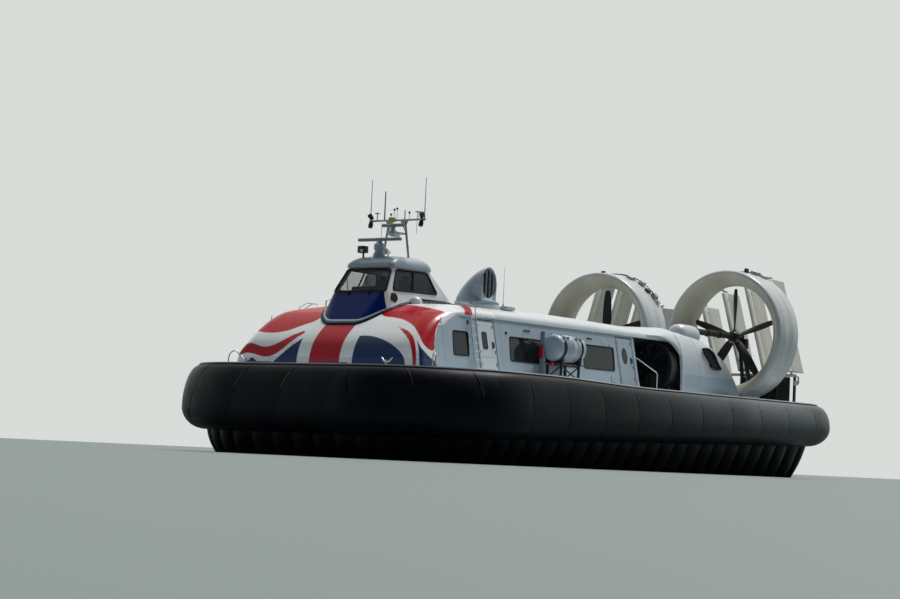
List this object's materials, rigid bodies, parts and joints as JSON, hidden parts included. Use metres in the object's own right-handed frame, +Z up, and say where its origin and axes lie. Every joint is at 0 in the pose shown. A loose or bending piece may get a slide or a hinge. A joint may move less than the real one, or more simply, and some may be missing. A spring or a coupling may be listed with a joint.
{
  "type": "passenger hovercraft",
  "caption": "Passenger hovercraft with inflated skirt, cabin, raised wheelhouse, ducted propellers with rudders and turning bow thrusters.",
  "frame": {"origin": "on the floor under the middle of the craft, at the centre of the inflated skirt", "axes": "+X to the bow, +Y to port, +Z up"},
  "size_m": [23.7, 12.7, 8.8],
  "materials": {
    "hull_grey": "matt dark grey paint",
    "deck_grey": "light grey non-slip deck paint",
    "skirt_rubber": "near-black coated rubber sheet with sewn seams",
    "white_paint": "glossy white paint with a red, white and blue pattern on the nose",
    "side_paint": "satin pale blue-grey paint",
    "dark_glass": "dark tinted glass",
    "clear_glass": "lightly tinted glass",
    "seat_cloth": "dark blue cloth",
    "black_paint": "satin black paint",
    "duct_cream": "satin off-white paint, stained inside",
    "bare_metal": "dull aluminium",
    "liferaft_grey": "pale grey glass-fibre canister"
  },
  "bodies": {
    "hull": {"hull_raft": "hull_grey", "deck": "deck_grey", "skirt_bag": "skirt_rubber", "skirt_fingers": "skirt_rubber", "nose_shell": "white_paint", "cabin_roof": "white_paint", "side_wall_port": "side_paint", "side_wall_starboard": "side_paint", "fore_glass_port": "dark_glass", "fore_glass_starboard": "dark_glass", "cabin_glass_port": "dark_glass", "cabin_glass_starboard": "dark_glass", "rear_bulkhead": "side_paint", "passenger_seats": "seat_cloth", "wheelhouse_shell": "white_paint", "wheelhouse_glass": "clear_glass", "wheelhouse_roof": "white_paint", "crew_seats": "seat_cloth", "engine_cowl_port": "white_paint", "engine_cowl_starboard": "white_paint", "engine_block_port": "hull_grey", "engine_block_starboard": "hull_grey", "duct_port": "duct_cream", "duct_starboard": "duct_cream", "shaft_housing_port": "black_paint", "shaft_housing_starboard": "black_paint", "pylon_port": "black_paint", "pylon_starboard": "black_paint", "rudder_beam_port": "bare_metal", "rudder_beam_starboard": "bare_metal", "guard_cage_port": "black_paint", "guard_cage_starboard": "black_paint", "mast": "bare_metal", "liferaft_rack_port": "black_paint", "liferaft_rack_starboard": "black_paint", "liferaft_port": "liferaft_grey", "liferaft_starboard": "liferaft_grey"},
    "fore_door_port": {"fore_door_port": "side_paint"},
    "fore_door_starboard": {"fore_door_starboard": "side_paint"},
    "aft_door_port": {"aft_door_port": "side_paint"},
    "aft_door_starboard": {"aft_door_starboard": "side_paint"},
    "lift_fan_port": {"lift_fan_port": "black_paint"},
    "lift_fan_starboard": {"lift_fan_starboard": "black_paint"},
    "propeller_port": {"propeller_port": "black_paint"},
    "propeller_starboard": {"propeller_starboard": "black_paint"},
    "rudder_inner_port": {"rudder_inner_port": "duct_cream"},
    "rudder_middle_inner_port": {"rudder_middle_inner_port": "duct_cream"},
    "rudder_middle_outer_port": {"rudder_middle_outer_port": "duct_cream"},
    "rudder_outer_port": {"rudder_outer_port": "duct_cream"},
    "rudder_inner_starboard": {"rudder_inner_starboard": "duct_cream"},
    "rudder_middle_inner_starboard": {"rudder_middle_inner_starboard": "duct_cream"},
    "rudder_middle_outer_starboard": {"rudder_middle_outer_starboard": "duct_cream"},
    "rudder_outer_starboard": {"rudder_outer_starboard": "duct_cream"},
    "bow_thruster_port": {"bow_thruster_port": "white_paint"},
    "bow_thruster_starboard": {"bow_thruster_starboard": "white_paint"},
    "radar_fore": {"radar_fore": "white_paint"},
    "radar_aft": {"radar_aft": "white_paint"}
  },
  "joints": [
    {"name": "fore_door_port_hinge", "type": "hinge", "parent": "hull", "child": "fore_door_port", "pos_m": [6.9, 3.74, 2.6203], "axis": [0, 0.2079, -0.9781], "range_deg": [0, 110]},
    {"name": "fore_door_starboard_hinge", "type": "hinge", "parent": "hull", "child": "fore_door_starboard", "pos_m": [6.9, -3.74, 2.6203], "axis": [0, 0.2079, 0.9781], "range_deg": [0, 110]},
    {"name": "aft_door_port_hinge", "type": "hinge", "parent": "hull", "child": "aft_door_port", "pos_m": [-0.73, 3.74, 2.6203], "axis": [0, 0.2079, -0.9781], "range_deg": [0, 110]},
    {"name": "aft_door_starboard_hinge", "type": "hinge", "parent": "hull", "child": "aft_door_starboard", "pos_m": [-0.73, -3.74, 2.6203], "axis": [0, 0.2079, 0.9781], "range_deg": [0, 110]},
    {"name": "lift_fan_port_spin", "type": "hinge", "parent": "hull", "child": "lift_fan_port", "pos_m": [-4.15, 2.7, 3.56], "axis": [1, 0, 0], "continuous": true},
    {"name": "lift_fan_starboard_spin", "type": "hinge", "parent": "hull", "child": "lift_fan_starboard", "pos_m": [-4.15, -2.7, 3.56], "axis": [1, 0, 0], "continuous": true},
    {"name": "propeller_port_spin", "type": "hinge", "parent": "hull", "child": "propeller_port", "pos_m": [-9.32, 2.78, 4.985], "axis": [1, 0, 0], "continuous": true},
    {"name": "propeller_starboard_spin", "type": "hinge", "parent": "hull", "child": "propeller_starboard", "pos_m": [-9.32, -2.78, 4.985], "axis": [1, 0, 0], "continuous": true},
    {"name": "rudder_outer_port_steer", "type": "hinge", "parent": "hull", "child": "rudder_outer_port", "pos_m": [-10.26, 4.62983, 3.78], "axis": [0, -0.2756, 0.9613], "range_deg": [-30, 30]},
    {"name": "rudder_middle_outer_port_steer", "type": "hinge", "parent": "hull", "child": "rudder_middle_outer_port", "pos_m": [-10.26, 3.62983, 3.78], "axis": [0, -0.2756, 0.9613], "range_deg": [-30, 30]},
    {"name": "rudder_middle_inner_port_steer", "type": "hinge", "parent": "hull", "child": "rudder_middle_inner_port", "pos_m": [-10.26, 2.62983, 3.78], "axis": [0, -0.2756, 0.9613], "range_deg": [-30, 30]},
    {"name": "rudder_inner_port_steer", "type": "hinge", "parent": "hull", "child": "rudder_inner_port", "pos_m": [-10.26, 1.62983, 3.78], "axis": [0, -0.2756, 0.9613], "range_deg": [-30, 30]},
    {"name": "rudder_inner_starboard_steer", "type": "hinge", "parent": "hull", "child": "rudder_inner_starboard", "pos_m": [-10.26, -1.62983, 3.78], "axis": [0, 0.2756, 0.9613], "range_deg": [-30, 30]},
    {"name": "rudder_middle_inner_starboard_steer", "type": "hinge", "parent": "hull", "child": "rudder_middle_inner_starboard", "pos_m": [-10.26, -2.62983, 3.78], "axis": [0, 0.2756, 0.9613], "range_deg": [-30, 30]},
    {"name": "rudder_middle_outer_starboard_steer", "type": "hinge", "parent": "hull", "child": "rudder_middle_outer_starboard", "pos_m": [-10.26, -3.62983, 3.78], "axis": [0, 0.2756, 0.9613], "range_deg": [-30, 30]},
    {"name": "rudder_outer_starboard_steer", "type": "hinge", "parent": "hull", "child": "rudder_outer_starboard", "pos_m": [-10.26, -4.62983, 3.78], "axis": [0, 0.2756, 0.9613], "range_deg": [-30, 30]},
    {"name": "bow_thruster_port_turn", "type": "hinge", "parent": "hull", "child": "bow_thruster_port", "pos_m": [4.95, 1.9, 4.99], "axis": [0, 0, 1], "range_deg": [-100, 80]},
    {"name": "bow_thruster_starboard_turn", "type": "hinge", "parent": "hull", "child": "bow_thruster_starboard", "pos_m": [4.95, -1.9, 4.99], "axis": [0, 0, 1], "range_deg": [-80, 100]},
    {"name": "radar_fore_spin", "type": "hinge", "parent": "hull", "child": "radar_fore", "pos_m": [7.56, 0, 6.32], "axis": [0, 0, 1], "continuous": true},
    {"name": "radar_aft_spin", "type": "hinge", "parent": "hull", "child": "radar_aft", "pos_m": [7.25, 0.25, 7.17], "axis": [0, 0, 1], "continuous": true}
  ],
  "couplings": [
    {"joint": "rudder_middle_outer_port_steer", "follows": "rudder_outer_port_steer", "ratio": 1},
    {"joint": "rudder_middle_inner_port_steer", "follows": "rudder_outer_port_steer", "ratio": 1},
    {"joint": "rudder_inner_port_steer", "follows": "rudder_outer_port_steer", "ratio": 1},
    {"joint": "rudder_inner_starboard_steer", "follows": "rudder_outer_port_steer", "ratio": 1},
    {"joint": "rudder_middle_inner_starboard_steer", "follows": "rudder_outer_port_steer", "ratio": 1},
    {"joint": "rudder_middle_outer_starboard_steer", "follows": "rudder_outer_port_steer", "ratio": 1},
    {"joint": "rudder_outer_starboard_steer", "follows": "rudder_outer_port_steer", "ratio": 1}
  ]
}
